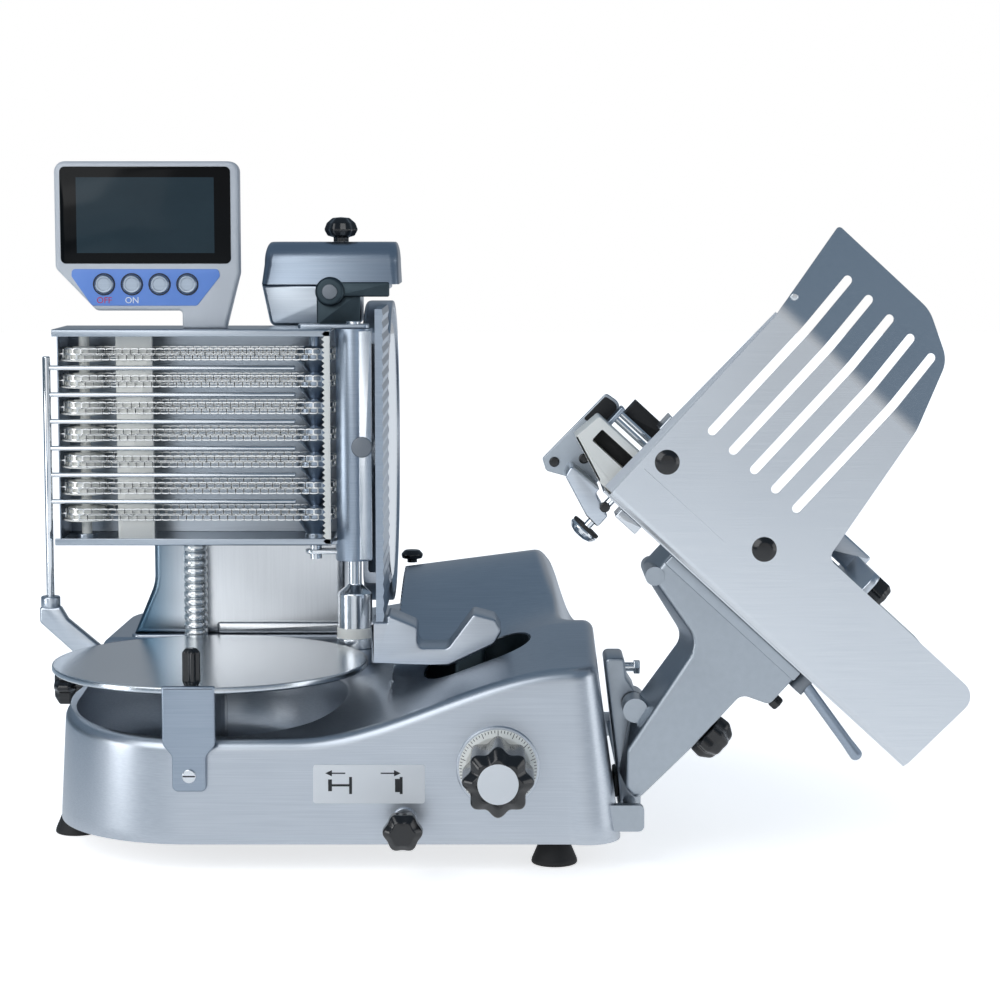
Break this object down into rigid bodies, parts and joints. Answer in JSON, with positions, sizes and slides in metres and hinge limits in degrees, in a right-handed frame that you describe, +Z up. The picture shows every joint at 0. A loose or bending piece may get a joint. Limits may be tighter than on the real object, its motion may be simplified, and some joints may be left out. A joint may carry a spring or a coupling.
{
  "type": "food slicer",
  "caption": "Automatic vertical food slicer with chain conveyor, round slice platter, touch display, circular blade and a tilting product carriage.",
  "frame": {"origin": "middle of the footprint box, on the floor under the feet", "axes": "+X right as seen from the platter side, +Y to the back, +Z up"},
  "size_m": [1.0218, 0.7064, 0.747],
  "materials": {
    "cast_aluminium": "satin anodised casting",
    "steel": "polished sheet",
    "dark_metal": "satin grey paint",
    "black_plastic": "glossy black",
    "rubber": "matte black",
    "cream_plastic": "off-white moulding",
    "blue_panel": "satin blue foil",
    "screen_glass": "dark touch glass",
    "chrome": "polished"
  },
  "bodies": {
    "base": {"base_housing": "cast_aluminium", "blade_tower": "cast_aluminium", "ring_guard": "cast_aluminium", "sharpener_housing": "cast_aluminium", "sharpener_cover": "cast_aluminium", "comb_arm": "cast_aluminium", "slice_platter": "steel", "platter_post": "steel", "platter_bracket": "steel", "cable_conduit": "steel", "drive_post": "steel", "slice_deflector": "steel", "conveyor_frame": "steel", "chain_1": "steel", "chain_2": "steel", "chain_3": "steel", "chain_4": "steel", "chain_5": "steel", "chain_6": "steel", "chain_7": "steel", "bottom_cover": "dark_metal", "tower_rear_cover": "dark_metal", "blade_motor": "dark_metal", "carriage_motor": "dark_metal", "display_housing": "dark_metal", "platter_grip": "black_plastic", "foot_front_left": "rubber", "foot_front_right": "rubber", "foot_rear_left": "rubber", "foot_rear_right": "rubber", "drive_belt": "rubber", "chain_guide_plate": "cream_plastic", "button_panel": "blue_panel", "display_screen": "screen_glass", "guide_rod": "chrome"},
    "blade": {"blade": "chrome", "blade_shaft": "steel"},
    "gauge": {"gauge_plate": "steel", "gauge_bracket": "cast_aluminium"},
    "thickness": {"thickness_dial": "cream_plastic", "thickness_knob": "black_plastic"},
    "mode_knob": {"mode_knob": "black_plastic"},
    "side_knob": {"side_knob": "black_plastic"},
    "sharpener_knob": {"sharpener_knob": "black_plastic"},
    "push_button_1": {"push_button_1": "steel"},
    "push_button_2": {"push_button_2": "steel"},
    "push_button_3": {"push_button_3": "steel"},
    "push_button_4": {"push_button_4": "steel"},
    "drum": {"drive_drum": "dark_metal"},
    "idler": {"idler_rollers": "cream_plastic"},
    "comb": {"eject_comb": "steel"},
    "slide": {"carriage_slide": "cast_aluminium"},
    "carriage": {"carriage_arm": "cast_aluminium", "guard_plate": "steel", "carriage_tray": "steel"},
    "arm_knob": {"arm_knob": "black_plastic"},
    "holder": {"product_holder": "cream_plastic"},
    "pull_knob": {"holder_pull_knob": "chrome"},
    "pusher": {"product_pusher": "cast_aluminium"},
    "lever": {"release_lever": "black_plastic"}
  },
  "joints": [
    {"name": "blade_spin", "type": "hinge", "parent": "base", "child": "blade", "pos_m": [-0.11391, 0.17315, 0.405], "axis": [1, 0, 0], "continuous": true},
    {"name": "gauge_slide", "type": "slide", "parent": "base", "child": "gauge", "axis": [-1, 0, 0], "range_m": [0, 0.014]},
    {"name": "thickness_turn", "type": "hinge", "parent": "base", "child": "thickness", "pos_m": [0.01509, -0.30185, 0.112], "axis": [0, -1, 0], "range_deg": [0, 300]},
    {"name": "mode_push", "type": "slide", "parent": "base", "child": "mode_knob", "axis": [0, 1, 0], "range_m": [0, 0.03]},
    {"name": "side_knob_turn", "type": "hinge", "parent": "base", "child": "side_knob", "pos_m": [-0.47891, 0.04815, 0.142], "axis": [1, 0, 0], "range_deg": [-90, 90]},
    {"name": "sharpener_turn", "type": "hinge", "parent": "base", "child": "sharpener_knob", "pos_m": [-0.17091, 0.14815, 0.67], "axis": [0, 0, 1], "range_deg": [0, 180]},
    {"name": "button_1_press", "type": "slide", "parent": "base", "child": "push_button_1", "axis": [0, 1, 0], "range_m": [0, 0.002], "stiffness_N_per_m": 400},
    {"name": "button_2_press", "type": "slide", "parent": "base", "child": "push_button_2", "axis": [0, 1, 0], "range_m": [0, 0.002], "stiffness_N_per_m": 400},
    {"name": "button_3_press", "type": "slide", "parent": "base", "child": "push_button_3", "axis": [0, 1, 0], "range_m": [0, 0.002], "stiffness_N_per_m": 400},
    {"name": "button_4_press", "type": "slide", "parent": "base", "child": "push_button_4", "axis": [0, 1, 0], "range_m": [0, 0.002], "stiffness_N_per_m": 400},
    {"name": "drum_spin", "type": "hinge", "parent": "base", "child": "drum", "pos_m": [-0.19591, 0.03815, 0.436], "axis": [0, 0, 1], "continuous": true},
    {"name": "idler_spin", "type": "hinge", "parent": "base", "child": "idler", "pos_m": [-0.45991, 0.03815, 0.436], "axis": [0, 0, 1], "continuous": true},
    {"name": "comb_swing", "type": "hinge", "parent": "base", "child": "comb", "pos_m": [-0.49891, 0.01115, 0.38], "axis": [0, 0, -1], "range_deg": [0, 100]},
    {"name": "carriage_travel", "type": "slide", "parent": "base", "child": "slide", "axis": [0, 1, 0], "range_m": [0, 0.25]},
    {"name": "carriage_tilt", "type": "hinge", "parent": "slide", "child": "carriage", "pos_m": [0.16109, -0.20185, 0.163], "axis": [0, -1, 0], "range_deg": [0, 42.5]},
    {"name": "arm_knob_turn", "type": "hinge", "parent": "carriage", "child": "arm_knob", "pos_m": [0.24458, -0.21185, 0.13126], "axis": [0.7373, 0, -0.6756], "range_deg": [-180, 180]},
    {"name": "holder_feed", "type": "slide", "parent": "carriage", "child": "holder", "axis": [0.7373, 0, -0.6756], "range_m": [0, 0.13]},
    {"name": "latch_pull", "type": "slide", "parent": "carriage", "child": "pull_knob", "axis": [-0.6756, 0, -0.7373], "range_m": [0, 0.006]},
    {"name": "pusher_feed", "type": "slide", "parent": "carriage", "child": "pusher", "axis": [0.7373, 0, -0.6756], "range_m": [-0.15, 0.09]},
    {"name": "lever_swing", "type": "hinge", "parent": "carriage", "child": "lever", "pos_m": [0.33604, -0.22185, 0.19258], "axis": [0.6756, 0, 0.7373], "range_deg": [-40, 60]}
  ],
  "couplings": [
    {"joint": "thickness_turn", "follows": "gauge_slide", "rad_per_m": 373.9},
    {"joint": "idler_spin", "follows": "drum_spin", "ratio": 1}
  ]
}
